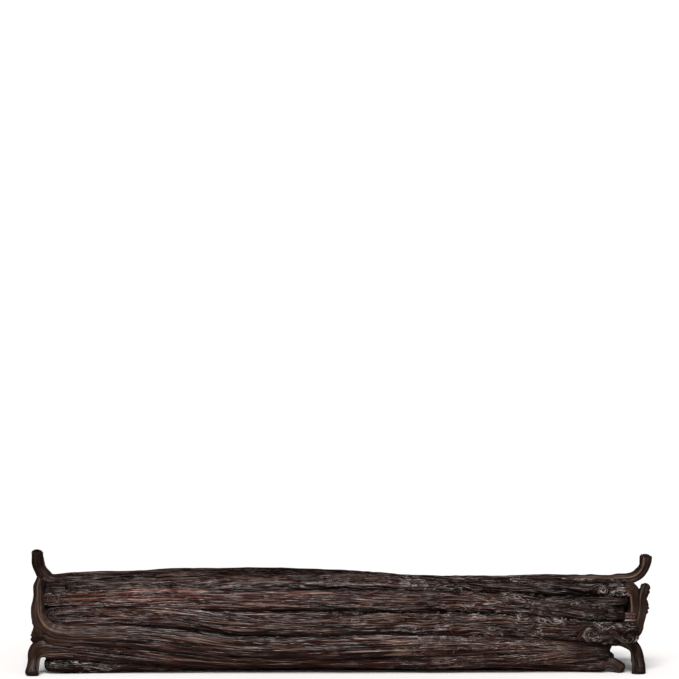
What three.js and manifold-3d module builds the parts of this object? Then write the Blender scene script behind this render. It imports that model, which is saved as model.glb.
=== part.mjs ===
// A bundle of cured vanilla pods lying on its side, as one solid.
//
// Millimetres. +X runs along the pods, +Z is up, and the front of the bundle faces -Y.
// The origin is on the table, under the middle of the bundle's box.
//
// The outer pods lie side by side round an oval, heads and tails mixed, so that both ends
// carry stems as well as blossom tips. A pod's place is its ring angle, in degrees up from the
// front: 0 is the front, 90 the top, 180 the back and -90 the underside. Each end of a pod is
// either a tip, which tapers, or a stem, whose thin neck goes through one or more bends.
import * as THREE from 'three';
import { mergeVertices } from 'three/addons/utils/BufferGeometryUtils.js';
import Module from 'manifold-3d';

const wasm = await Module();
wasm.setup();

// The oval through the middles of the outer pods, about the bundle's own axis.
const RING_DEPTH = 12.7;          // half its size from front to back
const RING_RISE = 11.8;           // from the axis up to the top pods
const RING_DROP = 12.0;           // from the axis down to the pods on the table
const RING_SQUARENESS = 2.3;      // 2 is an ellipse, more has fuller shoulders
const LOWEST_MIDDLE = 2.1;        // height of the middle of a pod that lies on the table

// The bundle is fullest a little left of its middle and slimmer at both ends.
const FULLEST_X = -18;
const FULL_REACH = 5;
const SLIM_REACH = 62;
const SLIMMING = 0.065;

// Pods further in lie on the same oval, made smaller.
const LAYER_SCALE = { outer: 1, inner: 0.6, centre: 0.22 };

// Stations along X at which a pod's ring angle and outward shift are given.
const STATIONS = [-78, -25, 45, 78];

// Cross-section of a pod and of its neck, full sizes.
const POD_WIDTH = 6.1;            // along the ring
const POD_THICKNESS = 5.0;        // across the ring
const NECK_WIDTH = 3.2;
const NECK_THICKNESS = 2.9;
const NECK_TAPER = [4, 6];        // how far beyond and before the end of its body a pod narrows
const STEM_FLARE = 1.14;          // the cut end of a stem is a little wider than its neck
const STEM_FLARE_LENGTH = 1.6;

// A blossom tip narrows slowly over the last third of the pod, then quickly to a blunt end.
// A tip marked blunt loses less of its width in the quick part.
const TIP_SLOW = { share: 0.17, length: 30 };
const TIP_QUICK = { share: 0.36, length: 3.4 };
const TIP_ROUNDING = 1.0;         // length of the rounded edge, and the share of the width left
const TIP_END_SHARE = 0.55;       // on the flat at its very end

// The pods wander a little on their way along the bundle.
const WANDER_DEGREES = 1.2;
const WANDER_OUT = 0.18;
const WANDER_LENGTH = 21;

// Facets.
const POD_SIDES = 9;
const BODY_STEPS = 11;
const STUB_SIDES = 7;
const STUB_STEPS = 2;
const BEND_STEP_DEGREES = 24;
const TIP_RINGS = [0, 1.0, 4, 10];

// Solid core under the pods, and how deep the ends of the inner pods reach into it.
const CORE_SCALE = 0.86;
const CORE_ENDS = [-73, 70];
const CORE_SIDES = 26;
const STUB_DEPTH = 12;

// Ends. A tip is given by the x that it reaches. A stem is given by the x where its first bend
// starts, the direction that it bends in (as a ring angle), and its bends, each as
// [radius, degrees turned, straight run after it].
const tip = (x, extra = {}) => ({ kind: 'tip', x, bends: [], towards: 0, ...extra });
const stem = (x, towards, bends, extra = {}) => ({ kind: 'stem', x, bends, towards, ...extra });

// The pods that make up the top and the front, from the top down. angles and out hold one value
// for each station; out is in millimetres away from the axis.
const FRONT_PODS = [
  { // top pod, its long smooth neck turning up at the right
    angles: [109, 108, 98, 91], out: [0, 0, 0, 1.5],
    left: tip(-76), right: stem(80.2, 90, [[5.6, 82, 2.4]], { taper: [3, 20] }),
  },
  { // turns up at the left
    angles: [84, 84, 80, 78], out: [0.6, 0.3, -0.8, -1.2],
    left: stem(-79.3, 92, [[5, 76, 4.6]], { taper: [5, 6] }), right: tip(72),
  },
  { // shoulder pod, its stem turning down at the right
    angles: [64, 63, 64, 63], out: [0.3, 0, 0.7, 0.6],
    left: tip(-81.3, { blunt: 1.4 }), right: stem(78.8, -84, [[4.2, 86, 5.8]], { taper: [4, 4] }),
  },
  { // comes up from inside at the right, under the shoulder pod
    angles: [50, 50, 47, 42], out: [-5, -5, -4, -1.5],
    left: tip(-77), right: tip(81.2, { blunt: 1.4 }),
  },
  { // ends in a short square stub at the right
    angles: [37.5, 31, 31, 19], out: [0, 0, 0, 0],
    left: tip(-82.9), right: stem(77.4, -80, [[30, 3, 0.6]], { neckWidth: 4.0, taper: [1, 4] }),
  },
  { // runs on as a thin stem that climbs past the right end
    angles: [13.5, 2, 3, -5], out: [-0.5, 0, 0, 0.3],
    left: tip(-82.4),
    right: stem(81.2, 97, [[4, 90, 5], [8, -18, 2.2]], { neckWidth: 2.4, taper: [6, 0.5] }),
  },
  { // lies behind the last two and ends between them at the right
    angles: [5, 5, 8, 8], out: [-5, -5, -5, -4.6],
    left: tip(-78), right: tip(82.3),
  },
  { // crooks up across the left end, broad as far as the end of the bend
    angles: [-8, -27, -21, -26], out: [0.2, 0, -0.2, -1.2],
    left: stem(-77.4, 98, [[6.9, 90, 6], [5, 28, 0.8]], { neckWidth: 3.5, taper: [10, 2] }),
    right: tip(76),
  },
  { // lies inside, and its stem comes out under the others at the right, turning down
    angles: [-38, -38, -38, -36], out: [-5, -5, -5, -4.8],
    left: tip(-77), right: stem(77.4, -64, [[7.2, 80, 4.4]]),
  },
  { // turns down at the left
    angles: [-30, -58, -50, -40], out: [0.2, 0, 0, -0.8],
    left: stem(-81.2, -67, [[4.2, 78, 3.7]], { taper: [6, 2] }), right: tip(76.6),
  },
  { // lies on the table and ends in a thick stub at the right
    angles: [-60, -85, -80, -62], out: [0.8, 0, 0, 0],
    left: tip(-82, { blunt: 1.4 }),
    right: stem(73.8, -85, [[12, 20, 2]], { neckWidth: 4.2, taper: [4, 4] }),
  },
];

// The pods round the back and underneath follow a rule: spread evenly between the first and the
// last of the front pods, heads and tails in turn, with stems that curl back or under.
const BACK_PODS = { count: 6, width: 5.6, leftX: -79, rightX: 76.4, spread: 3, bendLength: 5 };
const BACK_CURL = { towards: [175, 205], radius: [4.4, 5.6], turn: [60, 90], run: [1.5, 3.5] };

// The other pods inside the ring show only at the ends of the bundle.
const INNER_ROWS = [
  { layer: 'inner', first: 95, step: 45, count: 5 },
  { layer: 'centre', first: 60, step: 120, count: 3 },
];
const INNER_ENDS = { leftX: -78, rightX: 78, spread: 4, neckLength: 4, bends: [[60, 4, 1.5]] };

const DEGREE = Math.PI / 180;

// A number from 0 to 1 that looks random and is always the same for the same n.
function scatter(n) {
  const wave = Math.sin(n * 12.9898) * 43758.5453;
  return wave - Math.floor(wave);
}

// Smooth curve through one value for each station, with a straight run-out past the last ones.
function alongStations(values, x) {
  const slopeAt = (i) => {
    const before = Math.max(i - 1, 0);
    const after = Math.min(i + 1, STATIONS.length - 1);
    return (values[after] - values[before]) / (STATIONS[after] - STATIONS[before]);
  };
  if (x <= STATIONS[0]) return values[0];
  if (x >= STATIONS.at(-1)) return values.at(-1);
  const i = STATIONS.findIndex((station) => station > x) - 1;
  const span = STATIONS[i + 1] - STATIONS[i];
  const t = (x - STATIONS[i]) / span;
  const rise = t * t * (3 - 2 * t);
  const swing = span * (slopeAt(i) * t * (1 - t) * (1 - t) - slopeAt(i + 1) * t * t * (1 - t));
  return values[i] + (values[i + 1] - values[i]) * rise + swing;
}

// How slim the bundle is at x, against its fullest place.
function fullnessAt(x) {
  return 1 - SLIMMING * THREE.MathUtils.smoothstep(Math.abs(x - FULLEST_X), FULL_REACH, SLIM_REACH);
}

// Direction away from the axis at a ring angle.
function outward(degrees) {
  return new THREE.Vector3(0, -Math.cos(degrees * DEGREE), Math.sin(degrees * DEGREE));
}

// Point of an oval about the bundle's axis, at a ring angle and an x.
function ovalPoint(degrees, x, scale, out) {
  const direction = outward(degrees);
  const bulge = (value) => Math.sign(value) * Math.abs(value) ** (2 / RING_SQUARENESS);
  const full = fullnessAt(x);
  const height = direction.z > 0 ? RING_RISE : RING_DROP;
  const y = bulge(direction.y) * RING_DEPTH * full * scale;
  const z = LOWEST_MIDDLE + RING_DROP * full + bulge(direction.z) * height * full * scale;
  return new THREE.Vector3(x, y, z).addScaledVector(direction, out);
}

// Middle of a pod's body at x, with the direction that its thin side faces.
function bodyStation(pod, x) {
  const phase = pod.seed * 2.4;
  const wander = Math.sin(x / WANDER_LENGTH + phase);
  const degrees = alongStations(pod.angles, x) + WANDER_DEGREES * wander;
  const out = alongStations(pod.out, x) + WANDER_OUT * Math.sin(x / WANDER_LENGTH * 1.7 + phase);
  const point = ovalPoint(degrees, x, LAYER_SCALE[pod.layer], out);
  point.z = Math.max(point.z, LOWEST_MIDDLE);
  return { point, normal: outward(degrees) };
}

// Stations through the bends of one end, going outwards from the end of the body.
function bendStations(end, from, sign) {
  const along = new THREE.Vector3(sign, 0, 0);
  const aside = outward(end.towards);
  const stations = [];
  const point = from.point.clone();
  let turned = 0;
  const push = () => stations.push({ point: point.clone(), normal: from.normal.clone() });
  for (const [radius, degrees, run] of end.bends) {
    const steps = Math.max(1, Math.round(Math.abs(degrees) / BEND_STEP_DEGREES));
    for (let i = 0; i < steps; i += 1) {
      const next = turned + degrees / steps;
      const signed = radius * Math.sign(degrees);
      point.addScaledVector(along, signed * (Math.sin(next * DEGREE) - Math.sin(turned * DEGREE)));
      point.addScaledVector(aside, signed * (Math.cos(turned * DEGREE) - Math.cos(next * DEGREE)));
      turned = next;
      push();
    }
    point.addScaledVector(along, run * Math.cos(turned * DEGREE));
    point.addScaledVector(aside, run * Math.sin(turned * DEGREE));
    push();
  }
  return stations;
}

// All stations of a pod from left to right, with tangents and with normals square to them.
function spineOf(pod) {
  const lead = (end) => (end.kind === 'tip' ? TIP_RINGS : [0]);
  const first = lead(pod.left).map((step) => pod.left.x + step);
  const last = lead(pod.right).map((step) => pod.right.x - step).reverse();
  const between = [];
  for (let i = 1; i < pod.steps; i += 1) {
    between.push(THREE.MathUtils.lerp(first.at(-1), last[0], i / pod.steps));
  }
  const body = [...first, ...between, ...last].map((x) => bodyStation(pod, x));
  const left = bendStations(pod.left, body[0], -1).reverse();
  const right = bendStations(pod.right, body.at(-1), 1);
  const spine = [...left, ...body, ...right];
  spine.forEach((station, i) => {
    const before = spine[Math.max(i - 1, 0)].point;
    const after = spine[Math.min(i + 1, spine.length - 1)].point;
    station.tangent = after.clone().sub(before).normalize();
  });
  const square = (station, normal) => {
    station.normal = normal.clone().projectOnPlane(station.tangent).normalize();
  };
  body.forEach((station) => square(station, station.normal));
  for (let i = left.length - 1; i >= 0; i -= 1) square(spine[i], spine[i + 1].normal);
  for (let i = left.length + body.length; i < spine.length; i += 1) square(spine[i], spine[i - 1].normal);
  return spine;
}

// Length of the bends of an end.
function bendLength(end) {
  const lengths = end.bends.map(([radius, degrees, run]) => radius * Math.abs(degrees) * DEGREE + run);
  return lengths.reduce((sum, length) => sum + length, 0);
}

// Size of the section at a distance from one end, as a share of the pod's full [width, thickness].
function endShare(end, distance) {
  if (end.kind === 'tip') {
    const blunt = end.blunt ?? 1;
    const slow = TIP_SLOW.share * Math.exp(-distance / TIP_SLOW.length);
    const quick = (TIP_QUICK.share * Math.exp(-distance / TIP_QUICK.length)) / blunt;
    const rounding = distance < TIP_ROUNDING ? TIP_END_SHARE : 1;
    const share = (1 - slow - quick) * rounding;
    return [share, share];
  }
  const neckEnd = bendLength(end);
  const [before, after] = end.taper ?? NECK_TAPER;
  const body = THREE.MathUtils.smoothstep(distance, neckEnd - before, neckEnd + after);
  const flare = 1 + (STEM_FLARE - 1) * Math.exp(-distance / STEM_FLARE_LENGTH);
  const neck = [(end.neckWidth ?? NECK_WIDTH) / POD_WIDTH, NECK_THICKNESS / POD_THICKNESS];
  return neck.map((share) => flare * (share + (1 - share) * body));
}

// Closed mesh of sections along a spine: a cylinder whose rings are moved to the stations.
function loft(spine, sides) {
  const geometry = new THREE.CylinderGeometry(1, 1, 1, sides, spine.length - 1);
  geometry.deleteAttribute('normal');
  geometry.deleteAttribute('uv');
  const positions = geometry.getAttribute('position');
  const corner = new THREE.Vector3();
  for (let i = 0; i < positions.count; i += 1) {
    corner.fromBufferAttribute(positions, i);
    const station = spine[Math.round((corner.y + 0.5) * (spine.length - 1))];
    const side = station.tangent.clone().cross(station.normal);
    const moved = station.point.clone()
      .addScaledVector(side, (corner.x * station.width) / 2)
      .addScaledVector(station.normal, (corner.z * station.thickness) / 2);
    positions.setXYZ(i, moved.x, moved.y, moved.z);
  }
  return mergeVertices(geometry, 1e-4);
}

// One pod as a closed mesh.
function podGeometry(pod) {
  const spine = spineOf(pod);
  const distances = [0];
  for (let i = 1; i < spine.length; i += 1) {
    distances.push(distances[i - 1] + spine[i].point.distanceTo(spine[i - 1].point));
  }
  const total = distances.at(-1);
  spine.forEach((station, i) => {
    const fromLeft = endShare(pod.left, distances[i]);
    const fromRight = endShare(pod.right, total - distances[i]);
    station.width = pod.width * fromLeft[0] * fromRight[0];
    station.thickness = pod.thickness * fromLeft[1] * fromRight[1];
  });
  return loft(spine, pod.sides);
}

// Core that the pods are fused to.
function coreGeometry() {
  const ring = (x, share) => ({
    point: ovalPoint(0, x, 0, 0), tangent: new THREE.Vector3(1, 0, 0), normal: new THREE.Vector3(0, 0, 1),
    width: 2 * RING_DEPTH * CORE_SCALE * fullnessAt(x) * share,
    thickness: (RING_RISE + RING_DROP) * CORE_SCALE * fullnessAt(x) * share,
  });
  const [left, right] = CORE_ENDS;
  const spine = [ring(left, 0.8), ring(left + 3, 1)];
  for (const x of STATIONS.slice(1, 3)) spine.push(ring(x, 1));
  spine.push(ring(right - 3, 1), ring(right, 0.8));
  return loft(spine, CORE_SIDES);
}

// Fills in what a pod's table entry leaves out.
function finished(pod, seed) {
  return {
    seed, layer: 'outer', out: [0, 0, 0, 0], sides: POD_SIDES, steps: BODY_STEPS,
    width: POD_WIDTH * (0.97 + 0.08 * scatter(seed + 40)),
    thickness: POD_THICKNESS * (0.96 + 0.1 * scatter(seed + 80)),
    ...pod,
  };
}

// Ring angles that lie evenly between two others, measured round the oval at x.
function evenAngles(from, to, count, x) {
  const angles = [from];
  const lengths = [0];
  for (let degrees = from + 1; degrees <= to; degrees += 1) {
    const step = ovalPoint(degrees, x, 1, 0).distanceTo(ovalPoint(degrees - 1, x, 1, 0));
    angles.push(degrees);
    lengths.push(lengths.at(-1) + step);
  }
  const gap = lengths.at(-1) / (count + 1);
  const angleAfter = (reach) => angles[lengths.findIndex((length) => length >= reach)];
  return Array.from({ length: count }, (_, i) => angleAfter(gap * (i + 1)));
}

// The pods round the back, by rule.
function backPods() {
  const first = FRONT_PODS[0].angles;
  const last = FRONT_PODS.at(-1).angles;
  const rows = STATIONS.map((x, k) => evenAngles(first[k], last[k] + 360, BACK_PODS.count, x));
  const between = ([low, high], n) => low + (high - low) * scatter(n);
  return rows[0].map((_, i) => {
    const leftX = BACK_PODS.leftX + BACK_PODS.spread * scatter(i + 3);
    const rightX = BACK_PODS.rightX - BACK_PODS.spread * scatter(i + 7);
    const radius = between(BACK_CURL.radius, i + 17);
    const turn = between(BACK_CURL.turn, i + 11);
    const run = between(BACK_CURL.run, i + 19);
    const towards = between(BACK_CURL.towards, i + 23);
    const stemEnd = (x) => stem(x, towards, [[radius, turn, run]]);
    const stemLeft = i % 2 === 0;
    return {
      angles: rows.map((row) => row[i]),
      width: BACK_PODS.width,
      left: stemLeft ? stemEnd(leftX + BACK_PODS.bendLength) : tip(leftX),
      right: stemLeft ? tip(rightX) : stemEnd(rightX - BACK_PODS.bendLength),
    };
  });
}

// The ends of the pods inside the ring: short lengths that start in the core.
function innerEnds() {
  const ends = [];
  for (const row of INNER_ROWS) {
    for (let i = 0; i < row.count; i += 1) {
      const angle = row.first + row.step * i;
      const seed = 60 + ends.length;
      const shift = INNER_ENDS.spread * (scatter(seed) - 0.5);
      const stemEnd = (x, sign) => stem(x - INNER_ENDS.neckLength * sign, angle + 180, INNER_ENDS.bends);
      const stemLeft = scatter(seed + 5) > 0.5;
      const leftX = INNER_ENDS.leftX + shift;
      const rightX = INNER_ENDS.rightX - shift;
      const left = stemLeft ? stemEnd(leftX, -1) : tip(leftX);
      const right = stemLeft ? tip(rightX) : stemEnd(rightX, 1);
      const shared = { layer: row.layer, angles: STATIONS.map(() => angle), seed };
      const facets = { sides: STUB_SIDES, steps: STUB_STEPS };
      ends.push({ ...shared, ...facets, left, right: tip(CORE_ENDS[0] + STUB_DEPTH) });
      ends.push({ ...shared, ...facets, left: tip(CORE_ENDS[1] - STUB_DEPTH), right });
    }
  }
  return ends;
}

// Merged closed mesh as a solid.
function solidOf(geometry) {
  return new wasm.Manifold(new wasm.Mesh({
    numProp: 3,
    vertProperties: new Float32Array(geometry.getAttribute('position').array),
    triVerts: new Uint32Array(geometry.getIndex().array),
  }));
}

// Keeps the shell with the most triangles, which drops loose scraps and fills sealed hollows.
function outerShell(mesh) {
  const parent = Array.from({ length: mesh.vertProperties.length / 3 }, (_, i) => i);
  const rootOf = (vertex) => {
    let root = vertex;
    while (parent[root] !== root) root = parent[root];
    parent[vertex] = root;
    return root;
  };
  const corners = mesh.triVerts;
  for (let i = 0; i < corners.length; i += 3) {
    parent[rootOf(corners[i + 1])] = rootOf(corners[i]);
    parent[rootOf(corners[i + 2])] = rootOf(corners[i]);
  }
  const shells = new Map();
  for (let i = 0; i < corners.length; i += 3) {
    const root = rootOf(corners[i]);
    if (!shells.has(root)) shells.set(root, []);
    shells.get(root).push(corners[i], corners[i + 1], corners[i + 2]);
  }
  const largest = [...shells.values()].sort((a, b) => b.length - a.length)[0];
  const geometry = new THREE.BufferGeometry();
  geometry.setAttribute('position', new THREE.BufferAttribute(new Float32Array(mesh.vertProperties), 3));
  geometry.setIndex(largest);
  return geometry;
}

// Everything below the table top is cut off, which leaves flat strips for the bundle to lie on.
function tableCut() {
  const block = new THREE.BoxGeometry(240, 80, 20);
  block.translate(0, 0, -10);
  block.deleteAttribute('normal');
  block.deleteAttribute('uv');
  return solidOf(mergeVertices(block, 1e-4));
}

const outerPods = [...FRONT_PODS, ...backPods()].map((pod, i) => finished(pod, i + 1));
const ends = innerEnds().map((pod) => finished(pod, pod.seed));
const fused = [...outerPods, ...ends]
  .map((pod) => solidOf(podGeometry(pod)))
  .reduce((sum, pod) => sum.add(pod), solidOf(coreGeometry()));
const bundle = outerShell(fused.subtract(tableCut()).getMesh());

bundle.computeBoundingBox();
const middle = bundle.boundingBox.getCenter(new THREE.Vector3());
bundle.translate(-middle.x, -middle.y, -bundle.boundingBox.min.z);

const curedSkin = new THREE.MeshStandardMaterial({ color: 0x3a2822, roughness: 0.5, metalness: 0 });
const podBundle = new THREE.Mesh(bundle, curedSkin);
podBundle.name = 'vanilla_pods';

const group = new THREE.Group();
group.add(podBundle);

export default group;
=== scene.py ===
import math

import bpy
import numpy as np
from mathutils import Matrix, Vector


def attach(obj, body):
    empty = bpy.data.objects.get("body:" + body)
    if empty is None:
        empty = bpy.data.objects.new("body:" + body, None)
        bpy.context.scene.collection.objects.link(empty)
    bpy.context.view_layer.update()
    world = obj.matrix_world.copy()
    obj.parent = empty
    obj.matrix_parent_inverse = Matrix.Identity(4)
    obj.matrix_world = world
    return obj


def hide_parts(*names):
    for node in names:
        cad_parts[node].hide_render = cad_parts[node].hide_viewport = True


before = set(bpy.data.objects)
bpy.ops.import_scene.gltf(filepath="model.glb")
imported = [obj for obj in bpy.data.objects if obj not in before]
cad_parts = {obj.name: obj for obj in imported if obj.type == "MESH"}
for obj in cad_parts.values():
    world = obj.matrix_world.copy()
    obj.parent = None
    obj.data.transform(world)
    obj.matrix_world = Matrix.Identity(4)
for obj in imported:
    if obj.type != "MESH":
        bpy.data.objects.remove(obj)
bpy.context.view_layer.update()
print("frame loaded")

# A bundle of cured vanilla pods lying on its side. Lengths in the tables are millimetres.
# x runs along the pods, z is up, and the front faces -y. A pod's place round the bundle is its
# ring angle, up from the front: 90 is the top, 180 the back, -90 the underside.
metre = 0.001  # from the tables' millimetres to the scene's metres
layout = {
    "ringDepth": 12.7,
    "ringRise": 11.8,
    "ringDrop": 12.0,
    "ringSquareness": 2.3,
    "lowestMiddle": 2.1,
    "fullestX": -18,
    "fullReach": 5,
    "slimReach": 62,
    "slimming": 0.065,
    "layerScale": {"outer": 1.0, "inner": 0.6, "centre": 0.22, "core": 0.0},
    "stations": [-78, -52, -25, 45, 78],  # where ring angles and shifts outward are given
    "lookStations": [-78, -25, 45, 78],  # where curl, tone and redness are given
    "wanderDegrees": 1.2,
    "wanderOut": 0.18,
    "wanderLength": 21,
    "wanderBeat": 1.7,  # the wander outward is this much quicker
    "wanderPhase": 2.4,  # from one seed to the next
    "shift": (0.065, -2.007, 0.0),  # brings the middle of the bundle to the origin
}

# One pod: its section, its thin neck, and how its blossom tip narrows.
podShape = {
    "width": 6.5,  # along the ring, pressed against its neighbours
    "widthRange": (0.97, 1.05),  # from the slimmest pod to the fullest
    "thickness": 5.1,  # across the ring
    "thicknessRange": (0.96, 1.06),
    "meanRadius": 2.7,  # at which the skin's folds and noise are measured
    "squareness": 2.35,  # 2 is an ellipse, more has fuller shoulders
    "lobes": 0.035,  # a pod is a little three-sided
    "lobeSway": (0.8, 29),  # how far the three sides turn, and along what length
    "lumps": 0.07,
    "lumpSize": (15, 2.8, 2.8),
    "neckWidth": 3.2,
    "neckFlatness": 0.92,  # a neck's thickness as a share of its width
    "neckTaper": (4, 6),  # how far past and before the end of its body a pod narrows
    "foldsFrom": 0.4,  # the share of the first of these that has folds
    "knots": 0.17,  # unevenness of a neck along its length
    "knotSize": (3.6, 9, 9),
    "wobble": 0.30,  # how far a neck strays from its bend
    "wobbleSize": (5.5, 1, 1),
    "keelHeight": 0.34,  # one lengthwise ridge on each neck
    "keelWidth": 0.19,
    "keelRange": (60, 120),  # degrees round the neck: 90 is its outer side
    "keelSway": (0.25, 6),
    "keelFade": 1.5,  # powers: how fast the ridge, the folds and the knots of a neck end at the body
    "foldsFade": 2,
    "knotsFade": 3,
    "stemFlare": 1.08,
    "stemFlareLength": 1.6,
    "tipSlow": (0.17, 30.0),  # the share that a tip loses slowly, and over what length
    "tipQuick": (0.36, 3.4),
    "noseLength": 1.6,
    "noseCurve": 2.5,
    "noseClosed": 0.999,
    "thinRadius": 1.6,  # folds get lower where a pod is thinner than this
    "endCreases": (2, 5),  # full over the first length from an end, then fading over the second
    "shoulderCreases": (1, 4),  # fullest this far inside the end of a curly body, and how they fade
}

# Relief of the skin, as (length along the pod, width round it, height).
skinFolds = {
    "furrows": (38.0, 2.3, 0.30),
    "ridges": (18.0, 0.82, 0.28),
    "fibres": (9.0, 0.50, 0.19),
    "worms": (3.0, 0.85, 0.38),
    "creases": (0.95, 3.4, 0.20),
    "neckFolds": (14.0, 3.2, 0.12),
    "neckKnots": (3.6, 2.6, 0.24),
    "neckFibres": (8.0, 0.80, 0.12),
}

# How the folds run: turns are in radians, sizes are along the pod and across it twice.
skinFlow = {
    "twist": 0.3,
    "twistLength": 31,
    "sway": 0.17,
    "swaySize": (24, 3.2, 3.2),
    "fineSway": 0.04,
    "curlySway": 0.18,  # added where the skin is curly
    "fineSwaySize": (7, 2, 2),
    "slide": 1.4,  # how far curly folds are pushed along the pod
    "slideSize": (3.2, 1.9, 1.9),
    "billowPower": 0.72,
    "ridgeSharpness": 1.3,
    "wormWidth": 0.32,
    "wormSunk": 0.25,
    "curlyPatch": ((9, 3.2, 3.2), -0.3, 0.35),  # size, and where the patches start and are full
    "creasedPatch": ((4, 3, 3), -0.3, 0.4),
    "neckDepth": 0.12,  # of a body's folds on its neck
    "curlyCalm": 0.7,  # how much lower the long folds get between curly ones
    "crestShare": 0.5,  # of furrows and worms in the height that picks the colour
}

# Distances between the cross-sections of a pod's mesh.
meshSteps = {
    "tip": 0.1,
    "stem": 0.34,
    "bend": 0.36,
    "growth": 0.07,  # from an end towards the middle
    "curlyFiner": 0.9,
    "samples": 4000,
}

# Rings that close an end, as (share of its size, distance inward), and how rough its face is.
capRings = {
    "tip": ((0.72, -0.02), (0.42, 0.10), (0.16, 0.26)),
    "stem": ((0.98, -0.12), (0.90, -0.32), (0.72, -0.54), (0.50, -0.72), (0.30, -0.84), (0.13, -0.88)),
}
cutRoughness = {"tip": 0.0, "stem": 0.30, "size": 0.9, "radius": 2.2, "apart": 3}

# Torn flaps of skin: the size of the tears, where they start and are full, and the least push.
heelTear = {"size": (2.4, 1.3, 0.9), "edge": (-0.25, 0.3), "least": 0.25}


# Small helpers for numbers
def scatter(n):  # from 0 to 1, looks random, always the same for the same n
    return (math.sin(n * 12.9898) * 43758.5453) % 1.0


def between(limits, n):  # a value between two limits, picked by n
    low, high = limits
    return low + (high - low) * scatter(n)


def smoothstep(value, low, high):
    t = np.clip((value - low) / (high - low), 0.0, 1.0)
    return t * t * (3 - 2 * t)


dice = np.random.default_rng(11)
latticeSize = 256
latticeOrder = dice.permutation(latticeSize)
latticeSlopes = dice.normal(size=(latticeSize, 3))
latticeSlopes /= np.linalg.norm(latticeSlopes, axis=1)[:, None]
seedsApart = np.array([17.13, 5.71, 11.37])  # each seed reads another patch of the noise
noiseHeight = 1.7  # brings the noise to about -1 to 1


def noise(points, scale, seed):  # smooth noise from about -1 to 1
    p = points / np.asarray(scale, float) + seed * seedsApart
    cell = np.floor(p).astype(int)
    part = p - cell
    fade = part**3 * (part * (part * 6 - 15) + 10)
    wrap = latticeSize - 1
    total = np.zeros(p.shape[:-1])
    for corner in np.ndindex(2, 2, 2):
        spot = (cell + corner) & wrap
        pick = latticeOrder[(latticeOrder[spot[..., 0]] + spot[..., 1]) & wrap]
        pick = latticeOrder[(pick + spot[..., 2]) & wrap]
        slope = (latticeSlopes[pick] * (part - corner)).sum(-1)
        total += slope * np.prod(np.where(corner, fade, 1 - fade), axis=-1)
    return total * noiseHeight


# Where the pods lie
def alongStations(values, x):  # one value for each station, as a smooth curve along the bundle
    fits = len(values) == len(layout["stations"])
    stations = np.array(layout["stations" if fits else "lookStations"], float)
    values = np.array(values, float)
    steps = np.arange(len(stations))
    before, after = np.maximum(steps - 1, 0), np.minimum(steps + 1, len(stations) - 1)
    slopes = (values[after] - values[before]) / (stations[after] - stations[before])
    k = np.clip(np.searchsorted(stations, x, side="right") - 1, 0, len(stations) - 2)
    span = stations[k + 1] - stations[k]
    t = np.clip((x - stations[k]) / span, 0.0, 1.0)
    rise = t * t * (3 - 2 * t)
    swing = span * (slopes[k] * t * (1 - t) ** 2 - slopes[k + 1] * t * t * (1 - t))
    return values[k] + (values[k + 1] - values[k]) * rise + swing


def outward(degrees):
    angle = np.radians(degrees)
    return np.stack([np.zeros_like(angle), -np.cos(angle), np.sin(angle)], -1)


def ovalPoint(degrees, x, scale, out):
    away = outward(np.asarray(degrees, float) + 0 * x)
    bulge = np.sign(away) * np.abs(away) ** (2 / layout["ringSquareness"])
    reach = np.abs(x - layout["fullestX"])
    full = 1 - layout["slimming"] * smoothstep(reach, layout["fullReach"], layout["slimReach"])
    height = np.where(away[..., 2] > 0, layout["ringRise"], layout["ringDrop"])
    y = bulge[..., 1] * layout["ringDepth"] * full * scale
    z = layout["lowestMiddle"] + layout["ringDrop"] * full + bulge[..., 2] * height * full * scale
    return np.stack([x + 0 * y, y, z], -1) + away * np.asarray(out)[..., None]


def bodyStations(pod, x):
    phase = pod["seed"] * layout["wanderPhase"]
    along = x / layout["wanderLength"]
    degrees = alongStations(pod["angles"], x) + layout["wanderDegrees"] * np.sin(along + phase)
    drift = layout["wanderOut"] * np.sin(along * layout["wanderBeat"] + phase)
    out = alongStations(pod["out"], x) + drift
    points = ovalPoint(degrees, x, layout["layerScale"][pod["layer"]], out)
    points[:, 2] = np.maximum(points[:, 2], layout["lowestMiddle"])
    return points, outward(degrees)


# The two kinds of end. A stem goes through bends, each (radius, degrees turned, straight run
# after it), towards a ring angle. x is where the bends start, or where a tip ends. smooth is how
# far inside the body its folds are full.
def tip(x, blunt=1.0, slow=None):
    slow = slow or podShape["tipSlow"]
    return {"kind": "tip", "x": x, "bends": [], "towards": 0, "blunt": blunt, "slow": slow}


def stem(x, towards, bends, taper=None, neckWidth=None, smooth=0.0):
    neckWidth = neckWidth or podShape["neckWidth"]
    taper = taper or podShape["neckTaper"]
    shape = {"kind": "stem", "x": x, "bends": bends, "towards": towards}
    return {**shape, "taper": taper, "neckWidth": neckWidth, "smooth": smooth}


def bendLength(end):
    return sum(radius * math.radians(abs(degrees)) + run for radius, degrees, run in end["bends"])


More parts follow.
